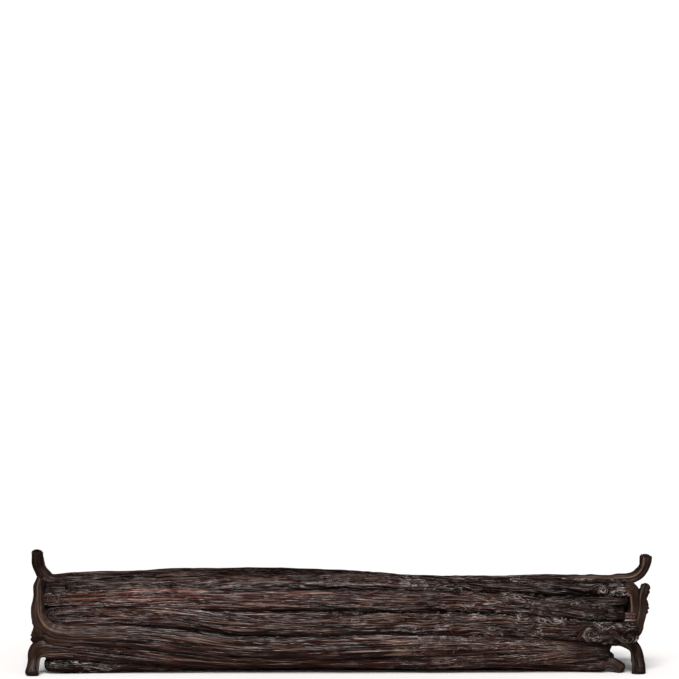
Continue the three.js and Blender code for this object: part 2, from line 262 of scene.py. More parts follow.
def bendPoints(end, start, sign, reach):  # points at these distances past the end of the body
    along, aside = np.array([sign, 0.0, 0.0]), outward(end["towards"])
    points = np.zeros((len(reach), 3))
    corner, turned, done = start.copy(), 0.0, 0.0
    for radius, degrees, run in end["bends"]:
        signed, arc = math.copysign(radius, degrees), radius * math.radians(abs(degrees))
        part = np.clip(reach - done, 0, arc)
        angle = turned + part / signed
        moved = along * (np.sin(angle) - math.sin(turned))[:, None]
        moved = moved + aside * (math.cos(turned) - np.cos(angle))[:, None]
        here = (reach >= done) | (done == 0)
        last = turned + math.radians(degrees)
        straight = along * math.cos(last) + aside * math.sin(last)
        beyond = np.maximum(reach - done - arc, 0)[:, None]
        points[here] = (corner + signed * moved + straight * beyond)[here]
        jump = along * (math.sin(last) - math.sin(turned)) + aside * (math.cos(turned) - math.cos(last))
        corner = corner + signed * jump + straight * run
        turned, done = last, done + arc + run
    return points


def spacedOut(low, high, stepAt):  # values from low to high whose gaps follow stepAt
    fine = np.linspace(low, high, meshSteps["samples"])
    count = np.concatenate([[0], np.cumsum(np.diff(fine) / stepAt((fine[1:] + fine[:-1]) / 2))])
    return np.interp(np.linspace(0, count[-1], int(count[-1]) + 2), count, fine)


def spineOf(pod):
    def stepAt(x):
        curl = np.clip(alongStations(pod["curl"], x), 0, 1)
        step = pod["step"] / (1 + meshSteps["curlyFiner"] * curl)
        for end, distance in ((pod["left"], x - pod["left"]["x"]), (pod["right"], pod["right"]["x"] - x)):
            step = np.minimum(step, meshSteps[end["kind"]] + meshSteps["growth"] * distance)
        return step

    x = spacedOut(pod["left"]["x"], pod["right"]["x"], stepAt)
    points, normals = bodyStations(pod, x)
    bends = []
    for end, start, sign in ((pod["left"], points[0], -1), (pod["right"], points[-1], 1)):
        length = bendLength(end)
        steps = int(length / meshSteps["bend"])
        reach = np.linspace(0, length, steps + 1)[1:]
        bends.append(bendPoints(end, start, sign, reach) if steps else np.zeros((0, 3)))
    left, right = bends[0][::-1], bends[1]
    points = np.concatenate([left, points, right])
    normals = np.concatenate([0 * left, normals, 0 * right])
    gaps = np.linalg.norm(np.diff(points, axis=0), axis=1)
    distance = np.concatenate([[0], np.cumsum(gaps)])
    tangents = np.gradient(points, distance, axis=0)
    tangents /= np.linalg.norm(tangents, axis=1)[:, None]
    first, last = len(left), len(points) - len(right)
    order = [*range(first, last), *range(first - 1, -1, -1), *range(last, len(points))]
    for i in order:  # the body's own normals first, then carried out along both bends
        source = normals[i] if first <= i < last else normals[i + 1 if i < first else i - 1]
        normal = source - tangents[i] * source.dot(tangents[i])
        normals[i] = normal / np.linalg.norm(normal)
    return points, tangents, normals, distance


# The shape of a pod
def endShare(pod, end, distance):  # share of full width and of full thickness, and how much is body
    if end["kind"] == "tip":
        slow, quick, curve = end["slow"], podShape["tipQuick"], podShape["noseCurve"]
        share = 1 - slow[0] * np.exp(-distance / slow[1])
        share = share - quick[0] * np.exp(-distance / quick[1]) / end["blunt"]
        nose = 1 - np.clip(distance / podShape["noseLength"], 0, 1)
        share = share * (1 - nose**curve * podShape["noseClosed"]) ** (1 / curve)
        return share, share, np.ones_like(distance)
    neckEnd = bendLength(end)
    before, after = end["taper"]
    body = smoothstep(distance, neckEnd - before, neckEnd + after)
    flare = 1 + (podShape["stemFlare"] - 1) * np.exp(-distance / podShape["stemFlareLength"])
    neckWidth = end["neckWidth"] / pod["width"]
    neckThickness = podShape["neckFlatness"] * end["neckWidth"] / pod["thickness"]
    widths = flare * (neckWidth + (1 - neckWidth) * body)
    foldsStart = neckEnd - podShape["foldsFrom"] * before
    wrinkled = smoothstep(distance, foldsStart, neckEnd + max(after, end["smooth"]))
    return widths, flare * (neckThickness + (1 - neckThickness) * body), wrinkled


def cylinderPoints(along, angle, radius=podShape["meanRadius"]):
    around = angle + 0 * along
    return np.stack([along + 0 * around, radius * np.cos(around), radius * np.sin(around)], -1)


def billow(value):  # rounded swellings with sharp furrows between them
    return np.clip(np.abs(value), 0, 1) ** skinFlow["billowPower"]


def skinRelief(pod, s, x, theta, body, nearEnd):
    flow, seed, meanRadius = skinFlow, pod["seed"] * 3.0, podShape["meanRadius"]
    curl = np.clip(alongStations(pod["curl"], x), 0, 1) * body
    plain = cylinderPoints(s, theta)

    def patches(name, extra):  # from 0 to 1
        size, start, full = flow[name]
        return smoothstep(noise(plain, size, seed + extra), start, full)

    twist = flow["twist"] * np.sin(s / flow["twistLength"] + seed)
    angle = theta + twist + flow["sway"] * noise(plain, flow["swaySize"], seed)
    fineSway = noise(plain, flow["fineSwaySize"], seed + 1)
    angle = angle + (flow["fineSway"] + flow["curlySway"] * curl) * fineSway
    along = s + curl * flow["slide"] * noise(plain, flow["slideSize"], seed + 2)
    for swirlX, degrees, radius, turn in pod["swirls"]:  # where the folds wind round a point
        ahead, beside = x - swirlX, meanRadius * (theta - math.radians(degrees))
        wound = turn * np.exp(-(ahead**2 + beside**2) / radius**2)
        along = along + ahead * (np.cos(wound) - 1) - beside * np.sin(wound)
        angle = angle + (ahead * np.sin(wound) + beside * (np.cos(wound) - 1)) / meanRadius
    grain = cylinderPoints(along, angle)

    def folds(name, extra):
        length, width, height = skinFolds[name]
        return noise(grain, (length, width, width), seed + extra), height

    value, height = folds("furrows", 3)
    furrows = height * (billow(value) - 0.5)
    value, height = folds("ridges", 4)
    ridges = height * (0.5 - billow(value * flow["ridgeSharpness"]))
    value, height = folds("fibres", 5)
    fibres = height * value
    worm, height = folds("worms", 6)
    curly = curl * patches("curlyPatch", 7)
    worms = height * (smoothstep(-np.abs(worm), -flow["wormWidth"], 0.0) - flow["wormSunk"]) * curly
    value, height = folds("creases", 8)
    creases = height * value * nearEnd * patches("creasedPatch", 9)
    swayTurn, swayLength = podShape["keelSway"]
    keelMiddle = math.radians(pod["keelAt"]) + swayTurn * np.sin(s / swayLength + seed)
    keelAngle = np.angle(np.exp(1j * (theta - keelMiddle)))
    keel = np.exp(-((keelAngle / podShape["keelWidth"]) ** 2)) * (1 - body) ** podShape["keelFade"]
    neckFolds = podShape["keelHeight"] * keel
    for name, extra in (("neckFolds", 10), ("neckKnots", 11), ("neckFibres", 12)):
        value, height = folds(name, extra)
        neckFolds = neckFolds + height * value * (1 - body) ** podShape["foldsFade"]
    depth = (flow["neckDepth"] + (1 - flow["neckDepth"]) * body) * (1 - flow["curlyCalm"] * curly)
    share = flow["crestShare"]
    relief = depth * (furrows + ridges + fibres) + worms + creases + neckFolds
    crests = depth * (share * furrows + ridges + fibres) + share * worms + creases + neckFolds
    return relief, crests, {"worm": worm, "curly": curly, "keel": keel}, grain


def sectionRadius(pod, s, theta, halfWidth, halfThickness, body):  # all round a pod, without folds
    n = podShape["squareness"]
    across = np.abs(np.cos(theta)) / halfWidth
    through = np.abs(np.sin(theta)) / halfThickness
    spots, (turn, length) = cylinderPoints(s, theta), podShape["lobeSway"]
    lobes = podShape["lobes"] * np.cos(3 * (theta + turn * np.sin(s / length + pod["seed"])))
    lumps = podShape["lumps"] * noise(spots, podShape["lumpSize"], pod["seed"] + 70)
    knots = podShape["knots"] * noise(spots, podShape["knotSize"], pod["seed"] + 71)
    swell = 1 + (lobes + lumps) * body + knots * (1 - body) ** podShape["knotsFade"]
    return (across**n + through**n) ** (-1 / n) * swell


def endNearness(pod, s, x, body):  # 1 at both ends, and at the shrivelled shoulder of a curly body
    curly = np.clip(alongStations(pod["curl"], x), 0, 1) * body
    nearEnd = 0 * s
    for end, reach in ((pod["left"], s), (pod["right"], s[-1] - s)):
        full, fading = podShape["endCreases"]
        nearEnd = np.maximum(nearEnd, np.exp(-np.maximum(reach - full, 0) / fading))
        if end["kind"] == "stem":
            past, fading = podShape["shoulderCreases"]
            shoulder = np.exp(-np.abs(reach - bendLength(end) - past) / fading)
            nearEnd = np.maximum(nearEnd, curly * shoulder)
    return nearEnd


def tornHeels(pod, rings, offset, nearEnd):  # flaps of skin, pushed out round a point in x and z
    for heel in pod["heels"]:
        middle, way = np.array(heel["at"]), np.array(heel["towards"])
        near = np.exp(-((rings[..., (0, 2)] - middle) ** 2).sum(-1) / heel["radius"] ** 2)
        torn = smoothstep(noise(rings, heelTear["size"], pod["seed"] + 60), *heelTear["edge"])
        torn = heelTear["least"] + (1 - heelTear["least"]) * torn
        push = heel["height"] * near * torn * np.clip(offset @ way, 0, 1)
        rings = rings + push[..., None] * way
        nearEnd = np.maximum(nearEnd, near)
    return rings, nearEnd


def closedCap(end, seed, ring, centre, axis, theta):  # rings that close one end, from its edge in
    rings = []
    for share, inward in capRings[end["kind"]]:
        place, radius = share * cutRoughness["apart"], cutRoughness["radius"] * share
        spot = cylinderPoints(0 * theta + place, theta, radius)
        rough = cutRoughness[end["kind"]] * share
        torn = rough * noise(spot, cutRoughness["size"], seed + 40)[:, None]
        rings.append(centre + (ring - centre) * share + axis * (inward + torn))
    return rings, centre + axis * capRings[end["kind"]][-1][1]


# What the material reads from each point of the skin.
skinMarks = {
    "crestUnit": 0.3,  # the height of a crest that counts as 1
    "capHeight": -0.4,
    "flankSharpness": 5,
    "capCoords": (0.3, 2.2),  # where the rings of a cap lie in the patterns, past the end
    "podsApart": (53.0, 7.0, 0),  # from one seed to the next in the patterns
}


def podMesh(pod):
    points, tangents, normals, distance = spineOf(pod)
    total = distance[-1]
    fromLeft = endShare(pod, pod["left"], distance)
    fromRight = endShare(pod, pod["right"], total - distance)
    halfWidth = (pod["width"] * fromLeft[0] * fromRight[0] / 2)[:, None]
    halfThickness = (pod["thickness"] * fromLeft[1] * fromRight[1] / 2)[:, None]
    body = (fromLeft[2] * fromRight[2])[:, None]
    theta = (np.arange(pod["sides"]) / pod["sides"] * 2 * math.pi)[None, :]
    s, x = distance[:, None], points[:, :1]
    sides = np.cross(tangents, normals)
    for axis, extra in ((sides, 72), (normals, 73)):
        stray = noise(cylinderPoints(distance, 0.0), podShape["wobbleSize"], pod["seed"] + extra)
        points = points + axis * (podShape["wobble"] * stray * (1 - body[:, 0]))[:, None]

    thin = np.clip(np.minimum(halfWidth, halfThickness) / podShape["thinRadius"], 0, 1)
    nearEnd = endNearness(pod, s, x, body)
    relief, crests, lines, grain = skinRelief(pod, s, x, theta, body, nearEnd * thin)
    radius = sectionRadius(pod, s, theta, halfWidth, halfThickness, body) + relief * thin
    offset = np.cos(theta)[..., None] * sides[:, None] + np.sin(theta)[..., None] * normals[:, None]
    rings = points[:, None] + offset * radius[..., None]
    rings, nearEnd = tornHeels(pod, rings, offset, nearEnd)

    ends, seed = (pod["left"], pod["right"]), pod["seed"]
    leftCap, leftPole = closedCap(ends[0], seed, rings[0], points[0], tangents[0], theta[0])
    rightCap, rightPole = closedCap(ends[1], seed + 5, rings[-1], points[-1], -tangents[-1], theta[0])
    capLeft, capRight = len(leftCap), len(rightCap)
    vertices = np.concatenate([np.array(leftCap[::-1]), rings, np.array(rightCap)])

    def spread(values, left, right):  # carries a value over the caps as well
        values = np.broadcast_to(values, rings.shape[:2])
        left, right = np.full((capLeft, pod["sides"]), left), np.full((capRight, pod["sides"]), right)
        return np.concatenate([left, values, right])

    crests, capHeight = crests / skinMarks["crestUnit"], skinMarks["capHeight"]
    # painted shade mark: 1 on a pod's sides, where it lies against its neighbours
    flank = np.abs(np.cos(theta)) ** skinMarks["flankSharpness"] * body
    cut = [float(end["kind"] == "stem") for end in ends]
    tone = alongStations(pod["tone"], x) + pod["neckTone"] * (1 - body)
    marks = {
        "foldHeight": spread(crests, capHeight, capHeight),
        "neck": spread(1 - body, 0.0, 0.0),
        **{name: spread(values, 0.0, 0.0) for name, values in lines.items()},
        "nearEnd": spread(nearEnd, 1.0, 1.0),
        "oily": spread(alongStations(pod["curl"], x), 0.0, 0.0),
        "flank": spread(flank, 0.0, 0.0),
        "cutEnd": spread(0 * s, *cut),
        "tone": spread(tone, pod["tone"][0], pod["tone"][-1]),
        "redness": spread(alongStations(pod["red"], x), pod["red"][0], pod["red"][-1]),
    }
    near, far = skinMarks["capCoords"]
    before, after = np.linspace(-far, -near, capLeft), total + np.linspace(near, far, capRight)
    edge = np.concatenate([before, distance, after])
    coords = np.concatenate([np.repeat(grain[:1], capLeft, 0), grain, np.repeat(grain[-1:], capRight, 0)])
    coords[:capLeft, :, 0] = before[:, None]
    coords[-capRight:, :, 0] = after[:, None]
    coords = coords + seed * np.array(skinMarks["podsApart"])
    poles = np.array([leftPole, rightPole])
    return {"vertices": vertices, "poles": poles, "marks": marks, "coords": coords, "edge": edge}


def podFaces(edge, around, start, strip):  # faces of one pod, and their corners on its strip of the map
    count = len(edge)
    along = np.interp(edge, (edge[0] - 1, edge[-1] + 1), (0.0, 1.0))
    side = np.linspace(*strip, around + 1)
    i, j = np.meshgrid(np.arange(count - 1), np.arange(around), indexing="ij")
    i, j = i.ravel(), j.ravel()
    corners = ((1, 0), (1, 1), (0, 1), (0, 0))
    quads = np.stack([(i + di) * around + (j + dj) % around for di, dj in corners], 1)
    spots = [np.stack([along[i + di], side[j + dj]], 1) for di, dj in corners]
    faces, maps = (quads + start).tolist(), [np.stack(spots, 1).reshape(-1, 2)]

    j = np.arange(around)
    middleSide = (side[:-1] + side[1:]) / 2
    for pole, row in ((0, 0), (1, count - 1)):  # triangles round the middle of each cap
        a, b = (j + 1, j) if pole else (j, j + 1)
        middle = np.full(around, count * around + pole)
        triangles = np.stack([middle, row * around + a % around, row * around + b % around], 1)
        faces += (triangles + start).tolist()
        middleU, edgeU = np.full(around, float(pole)), np.full(around, along[row])
        spots = [np.stack(spot, 1) for spot in ((middleU, middleSide), (edgeU, side[a]), (edgeU, side[b]))]
        maps.append(np.stack(spots, 1).reshape(-1, 2))
    return faces, maps


mapGap = 0.02  # left free at both sides of a pod's strip, as a share of the strip


def buildPiece(name, pods):  # one mesh of several pods, each with its own strip of the map
    vertices, coords, faces, maps = [], [], [], []
    marks = {}
    start = 0
    for row, pod in enumerate(pods):
        made = podMesh(pod)
        count, around = made["vertices"].shape[:2]
        vertices += [made["vertices"].reshape(-1, 3), made["poles"]]
        flat = made["coords"].reshape(-1, 3)
        coords += [flat, flat[[0, -1]]]
        for key, values in made["marks"].items():
            marks.setdefault(key, []).extend([values.reshape(-1), values.reshape(-1)[[0, -1]]])
        strip = ((row + mapGap) / len(pods), (row + 1 - mapGap) / len(pods))
        newFaces, newMaps = podFaces(made["edge"], around, start, strip)
        faces += newFaces
        maps += newMaps
        start += count * around + len(made["poles"])
    vertices = np.concatenate(vertices) + np.array(layout["shift"])
    vertices[:, 2] = np.maximum(vertices[:, 2], 0.0)  # pressed flat where it lies on the table

    mesh = bpy.data.meshes.new(name)
    mesh.from_pydata((vertices * metre).tolist(), [], faces)
    mesh.polygons.foreach_set("use_smooth", np.ones(len(faces), bool))
    attribute = mesh.attributes.new("podCoords", "FLOAT_VECTOR", "POINT")
    attribute.data.foreach_set("vector", np.concatenate(coords).astype(np.float32).ravel())
    for key, values in marks.items():
        attribute = mesh.attributes.new(key, "FLOAT", "POINT")
        attribute.data.foreach_set("value", np.concatenate(values).astype(np.float32))
    uvMap = mesh.uv_layers.new(name="OFBake")
    uvMap.data.foreach_set("uv", np.concatenate(maps).astype(np.float32).ravel())
    mesh.validate()
    piece = bpy.data.objects.new(name, mesh)
    bpy.context.scene.collection.objects.link(piece)
    mesh.materials.append(curedSkin)
    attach(piece, "root")
    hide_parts("vanilla_pods")
    print(name, len(pods), "pods", sum(len(f) - 2 for f in faces), "triangles")


def finishedPod(pod):  # fills in what a pod's table leaves out
    seed = pod["seed"]
    plain = {
        "layer": "outer",
        "out": [0] * len(layout["stations"]),
        "width": podShape["width"] * between(podShape["widthRange"], seed + 40),
        "thickness": podShape["thickness"] * between(podShape["thicknessRange"], seed + 80),
        "sides": 84,  # of its mesh
        "step": 0.8,  # between cross-sections, away from the ends
        "heels": [],
        "swirls": [],  # each (x, degrees round the pod, radius, turn)
        "keelAt": between(podShape["keelRange"], seed + 90),
        "neckTone": 0.25,
    }
    flat = {key: [0] * len(layout["lookStations"]) for key in ("curl", "tone", "red")}
    return {**plain, **flat, **pod}


# Materials
def linearColour(code):  # sRGB hex to the linear values that shaders take
    parts = [int(code[i : i + 2], 16) / 255 for i in (1, 3, 5)]
    return tuple(c / 12.92 if c <= 0.04045 else ((c + 0.055) / 1.055) ** 2.4 for c in parts) + (1.0,)


def addNode(tree, kind, settings=None, links=None, stops=()):
    node = tree.nodes.new("ShaderNode" + kind)
    for key, value in (settings or {}).items():
        if isinstance(key, str) and hasattr(node, key):
            setattr(node, key, value)
        else:
            node.inputs[key].default_value = value
    for key, source in (links or {}).items():  # a source is a node, for its first output, or an output
        tree.links.new(source.outputs[0] if hasattr(source, "outputs") else source, node.inputs[key])
    for i, (place, colour) in enumerate(stops):
        stop = node.color_ramp.elements[i] if i < 2 else node.color_ramp.elements.new(place)
        stop.position, stop.color = place, colour
    return node


# Cured vanilla pod: a fermented, sun-dried skin, oily and shrunk into long folds. The eye gets
# a near-black brown with paler, greyer crests and dark furrows, partly painted highlight and painted shade,
# and broken oily highlights, partly painted as pale curly lines.
skinLook = {
    "places": (0.0, 0.36, 0.62, 1.0),  # from the bottom of a furrow to the top of a crest: darker in furrows, paler on crests, partly the skin's own colour and partly painted shade and painted highlight
    "brown": ("#150503", "#290f0a", "#3a2219", "#725b50"),
    "russet": ("#1a0603", "#38160d", "#4f2a1e", "#7f6358"),
    "ash": ("#0f0504", "#241511", "#392b26", "#73665f"),
    "stem": ("#150805", "#2c1a13", "#423026", "#6e5f52"),
    # painted highlight: the colour of the pale curly lines and glints, in part the paler crests of the
    # curly folds
    "curlyHighlightLine": "#a29993",
    "cutFace": "#432c23",
    "level": 0.355,  # where smooth skin lies between furrow and crest
    # crest and furrow draw thin pale and dark lines, and fold and keel make the colour follow the mesh's
    # relief and the neck's ridge: partly painted highlight on crests and keel, partly painted shade in
    # furrows
    "contrast": {"fold": 0.18, "grain": 2.6, "strand": 0.46, "crest": 0.34, "furrow": -0.50, "keel": 0.30},
    "paintedLineLight": 1.1,  # painted highlight: how much brighter the curly lines are painted
    "neckRoughness": 0.14,  # added on the necks, which are dull
    "neckShine": -0.16,
    "ior": 1.46,
    "bump": 0.0002,  # metres
}

# Patterns of the skin as (length along the pod, width round it, detail), in millimetres. Real
# fibres are about 0.1 wide and are drawn coarser here, to show.
skinPatterns = {
    "grain": (14.0, 0.36, 1.5),
    "strand": (36.0, 1.3, 2.0),
    "crest": (13.0, 0.50, 1.0),
    "furrow": (18.0, 0.74, 1.0),
    "dry": (26.0, 5.0, 2.0),
    "mottle": (18.0, 4.0, 3.0),
    "glint": (4.4, 0.55, 1.5),
    "gap": (4.0, 1.3, 1.0),
    "pit": (0.9, 0.6, 2.0),
}
patternRoughness = 0.55
thinLines = {"crest": 0.08, "furrow": 0.07, "glint": 0.024}  # share of a pattern's range that draws a line; the glint lines are painted highlights

# Each turns one range of what it reads into another: what it reads, from, to, first, last.
skinRanges = {
    "dryness": ("dry", 0.35, 0.62, 0.35, 1.25),  # how much the thin pale crest lines show, partly painted highlight
    "calm": ("neck", 0.0, 1.0, 1.0, 0.35),  # necks are smoother
    # the pale line along each curly fold's crest, mostly painted highlight
    "curlyHighlightLine": ("wormMiddle", 0.0, 0.11, 0.85, 0.0),
    "broken": ("gap", 0.44, 0.56, 0.15, 1.0),  # what is left of the curly lines
    "mottled": ("mottle", 0.35, 0.65, -0.22, 0.18),  # redness by patches
    "pitted": ("pit", 0.3, 0.7, 0.2, 1.0),
    "toned": ("tone", -1.5, 1.5, 0.14, 1.70),  # from the darkest pods to the palest; the low tone of the top pods is partly painted shade, and the high neck tone of the stub at the bottom right is painted light
    "paintedFlankShade": ("flank", 0.3, 0.95, 1.0, 0.15),  # painted shade: dark where a pod lies against the next
    "ending": ("nearEnd", 0.0, 1.0, 1.0, 0.5),
    "rough": ("oily", 0.0, 0.8, 0.26, 0.20),  # from dry skin to oily skin
    "shine": ("tone", -1.5, 1.5, 0.12, 0.62),
}
colourA, colourB, mixed = 6, 7, 2  # the colour sockets of a Mix node, and its colour output


def makeSkin():
    material = bpy.data.materials.new("cured vanilla skin")
    material.use_nodes = True
    tree = material.node_tree
    tree.nodes.clear()
    look = skinLook
    times, timesPlus = {"operation": "MULTIPLY"}, {"operation": "MULTIPLY_ADD"}
    marks = {}
    for name in (
        "podCoords", "foldHeight", "neck", "worm", "curly", "keel", "flank", "cutEnd", "nearEnd", "oily",
        "tone", "redness",
    ):
        marks[name] = addNode(tree, "Attribute", {"attribute_name": name}).outputs["Fac"]
    coords = marks["podCoords"].node.outputs["Vector"]

    patterns = {}
    for name, (length, width, detail) in skinPatterns.items():
        scale = (1 / length, 1 / width, 1 / width)
        stretched = addNode(tree, "VectorMath", {"operation": "MULTIPLY", 1: scale}, {0: coords})
        settings = {"Scale": 1.0, "Detail": detail, "Roughness": patternRoughness}
        patterns[name] = addNode(tree, "TexNoise", settings, {"Vector": stretched})
    for name, width in thinLines.items():  # 1 on the curves where a pattern passes its middle
        stops = [(0.5 - width, (0, 0, 0, 1)), (0.5, (1, 1, 1, 1)), (0.5 + width, (0, 0, 0, 1))]
        patterns[name] = addNode(tree, "ValToRGB", {}, {0: patterns[name]}, stops)
    wormMiddle = addNode(tree, "Math", {"operation": "ABSOLUTE"}, {0: marks["worm"]})
    readable = {**patterns, **marks, "wormMiddle": wormMiddle}
    ranges = {}
    for name, (reads, *limits) in skinRanges.items():
        settings = dict(zip(("From Min", "From Max", "To Min", "To Max"), limits))
        ranges[name] = addNode(tree, "MapRange", settings, {"Value": readable[reads]})

    # Relief too fine for the mesh, then the height that picks the colour
    centred = {}
    for name in ("grain", "strand"):
        centred[name] = addNode(tree, "Math", {"operation": "SUBTRACT", 1: 0.5}, {0: patterns[name]})
    fine = addNode(tree, "Math", {**times, 1: look["contrast"]["grain"]}, {0: centred["grain"]})
    dryCrest = addNode(tree, "Math", times, {0: patterns["crest"], 1: ranges["dryness"]})
    for name, source in (("crest", dryCrest), ("furrow", patterns["furrow"])):
        fine = addNode(tree, "Math", {**timesPlus, 1: look["contrast"][name]}, {0: source, 2: fine})
    fine = addNode(tree, "Math", times, {0: fine, 1: ranges["calm"]})
    strand = addNode(tree, "Math", times, {0: centred["strand"], 1: ranges["calm"]})
    height = addNode(tree, "Math", {"operation": "ADD", 1: look["level"]}, {0: fine})
    for name, source in (("fold", marks["foldHeight"]), ("strand", strand), ("keel", marks["keel"])):
        height = addNode(tree, "Math", {**timesPlus, 1: look["contrast"][name]}, {0: source, 2: height})
    # painted highlights: the curly lines and glints, painted paler and brighter than the skin round them
    line = addNode(tree, "Math", {"operation": "MAXIMUM"}, {0: ranges["curlyHighlightLine"], 1: patterns["glint"]})
    for mask in (marks["curly"], ranges["broken"]):
        line = addNode(tree, "Math", times, {0: line, 1: mask})

    colours = {}
    for name in ("brown", "russet", "ash", "stem"):
        stops = [(place, linearColour(code)) for place, code in zip(look["places"], look[name])]
        colours[name] = addNode(tree, "ValToRGB", {}, {0: height}, stops)
    red = addNode(tree, "Math", {"operation": "ADD"}, {0: marks["redness"], 1: ranges["mottled"]})
    grey = addNode(tree, "Math", {**times, 1: -1.0}, {0: red})
    base = colours["brown"]
    for share, name in ((red, "russet"), (grey, "ash"), (marks["neck"], "stem")):
        links = {"Factor": share, colourA: base, colourB: colours[name]}
        base = addNode(tree, "Mix", {"data_type": "RGBA"}, links).outputs[mixed]
    cut = addNode(tree, "Math", times, {0: marks["cutEnd"], 1: ranges["pitted"]})
    for share, name in ((line, "curlyHighlightLine"), (cut, "cutFace")):
        settings = {"data_type": "RGBA", colourB: linearColour(look[name])}
        base = addNode(tree, "Mix", settings, {"Factor": share, colourA: base}).outputs[mixed]
    shade = ranges["toned"]
    for name in ("paintedFlankShade", "ending"):
        shade = addNode(tree, "Math", times, {0: shade, 1: ranges[name]})
    shade = addNode(tree, "Math", {**timesPlus, 1: look["paintedLineLight"]}, {0: line, 2: shade})
    shaded = addNode(tree, "VectorMath", {"operation": "SCALE"}, {0: base, "Scale": shade})

    settings = {**timesPlus, 1: look["neckRoughness"]}
    rough = addNode(tree, "Math", settings, {0: marks["neck"], 2: ranges["rough"]})
    settings = {**timesPlus, 1: look["neckShine"]}
    shine = addNode(tree, "Math", settings, {0: marks["neck"], 2: ranges["shine"]})
    bump = addNode(tree, "Bump", {"Strength": 1.0, "Distance": look["bump"]}, {"Height": fine})
    links = {"Base Color": shaded, "Roughness": rough, "Specular IOR Level": shine, "Normal": bump}
    shader = addNode(tree, "BsdfPrincipled", {"IOR": look["ior"]}, links)
    addNode(tree, "OutputMaterial", {}, {"Surface": shader})
    return material


curedSkin = makeSkin()
print("skin made")

# The top of the bundle: two pods that hook up at their ends, and the shoulder pod below them.
# angles, out, curl, tone and red hold one value for each station along the bundle.
topPods = {
    # crown and upper have a low tone: partly their own dark colour, partly painted shade on the top of the
    # bundle, which faces the key light
    "crown": {
        "seed": 1, "angles": [109, 109, 108, 97, 79], "out": [0, 0, 0, -1.1, 1.25], "keelAt": 38,
        "left": tip(-76), "right": stem(76.3, 92, [[26, 12, 0.1], [5, 72, 1.6]], (6, 30), 3.1, 30),
        "curl": [0.1, 0, 0.3, 0], "tone": [-1.3, -1.3, -1.1, 0], "red": [0.4, 1, 0.5, 0],
        "neckTone": 0.55,
    },
    "upper": {
        "seed": 2, "angles": [84, 84, 84, 80, 76], "out": [0.6, 0.4, 0.3, -1.7, -2.1],
        "left": stem(-80.5, 92, [[3.2, 62, 2.6], [5, 26, 2.2]], (6, 5), 3.4), "right": tip(72),
        "curl": [0, 0, 0.6, 0.6], "tone": [-0.8, -1.3, -1.1, -0.9], "red": [0.2, 1, 0.9, 0.5],
        "neckTone": 0.6,
    },
    "shoulder": {
        "seed": 3, "angles": [60, 62, 62, 62, 57], "out": [0.9, 0.2, 0, 0.6, 0.6],
        "left": tip(-77.6, 1.6), "right": stem(80.4, -84, [[2.2, 88, 8.6]], (2.6, 1.2), 4.0), "keelAt": 26,
        "curl": [0, 0, 0.9, 1], "tone": [-0.4, -0.4, -1.2, -1.2], "red": [-0.4, 0.3, 0.5, 0.3],
        "neckTone": 1.4, "swirls": [(73.4, 35, 1.6, 4)],
    },
}
buildPiece("top_pods", [finishedPod(pod) for pod in topPods.values()])

# The front: the red pod, the pod that ends curled at the right, and the left crook.
frontPods = {
    "red": {
        "seed": 5, "angles": [38, 37, 31, 31, 15],
        "left": tip(-83.9, 1.6, (0.32, 16)), "right": tip(75.2, 1.6),
        "curl": [0, 0, 0.7, 0.9], "tone": [0.5, 0, -0.8, -1], "red": [1, 0.8, 0.6, 0.4],
    },
    "curled": {
        "seed": 6, "angles": [14, 12, 0.5, 3, -5], "out": [-0.5, -0.2, 0, 0, 0.3], "width": 7.0,
        "left": tip(-83.2), "right": tip(83.7, 2),
        "curl": [0, 0, 0.8, 1], "tone": [0, 0, -0.9, -1], "red": [0.1, 0, 0.4, 0.1],
        "swirls": [(70.4, 90, 2.3, 4.5), (80.6, 75, 1.9, -4)],
    },
    "crook": {
        "seed": 8, "angles": [-8, -12, -25, -22, -29], "out": [0.2, 0.1, 0, -0.2, -1.2], "width": 7.0,
        "left": stem(-77.3, 98, [[6.9, 90, 6], [5, 24, 0.6]], (16, 0), 2.8, 22), "right": tip(75.4, 1.3),
        "keelAt": 106,
        "curl": [0, 0, 0.4, 0.5], "tone": [0, 0, 0.4, 0.5], "red": [0, -0.1, 0.1, 0],
        "heels": [{"at": (-83.9, 9.4), "towards": (-0.94, 0, -0.34), "radius": 3.0, "height": 4.6}],
    },
}
buildPiece("front_pods", [finishedPod(pod) for pod in frontPods.values()])

# The lowest pods of the front: one hooks down at the left, one lies on the table.
lowPods = {
    "leftHook": {
        "seed": 10, "angles": [-30, -40, -54, -48, -43], "out": [0.2, 0, 0, 0, -0.8],
        "left": stem(-82.3, -67, [[3.0, 84, 4.7]], (6, 1), 3.1, 10), "right": tip(75.9, 1.3),
        "curl": [0.2, 0, 0.3, 0.3], "tone": [0, 0, 0.5, 0.6], "red": [0, 0.1, 0, 0], "neckTone": 0.55,
    },
    # its high neckTone paints its stub at the bottom right paler: painted light where the stub lies in
    # shade
    "onTable": {
        "seed": 11, "angles": [-50, -64, -83, -78, -58], "out": [2.0, 0.8, 0, 0, 0.6],
        "left": tip(-82.8, 1.3), "right": stem(75.0, -78, [[4, 32, 2.3]], (0.4, 1.5), 3.5),
        "curl": [0.9, 0, 0, 0.4], "tone": [-0.5, 0, 0.5, 0.6], "red": [-0.1, 0.1, 0, 0.3], "neckTone": 1.5,
    },
}
buildPiece("low_pods", [finishedPod(pod) for pod in lowPods.values()])

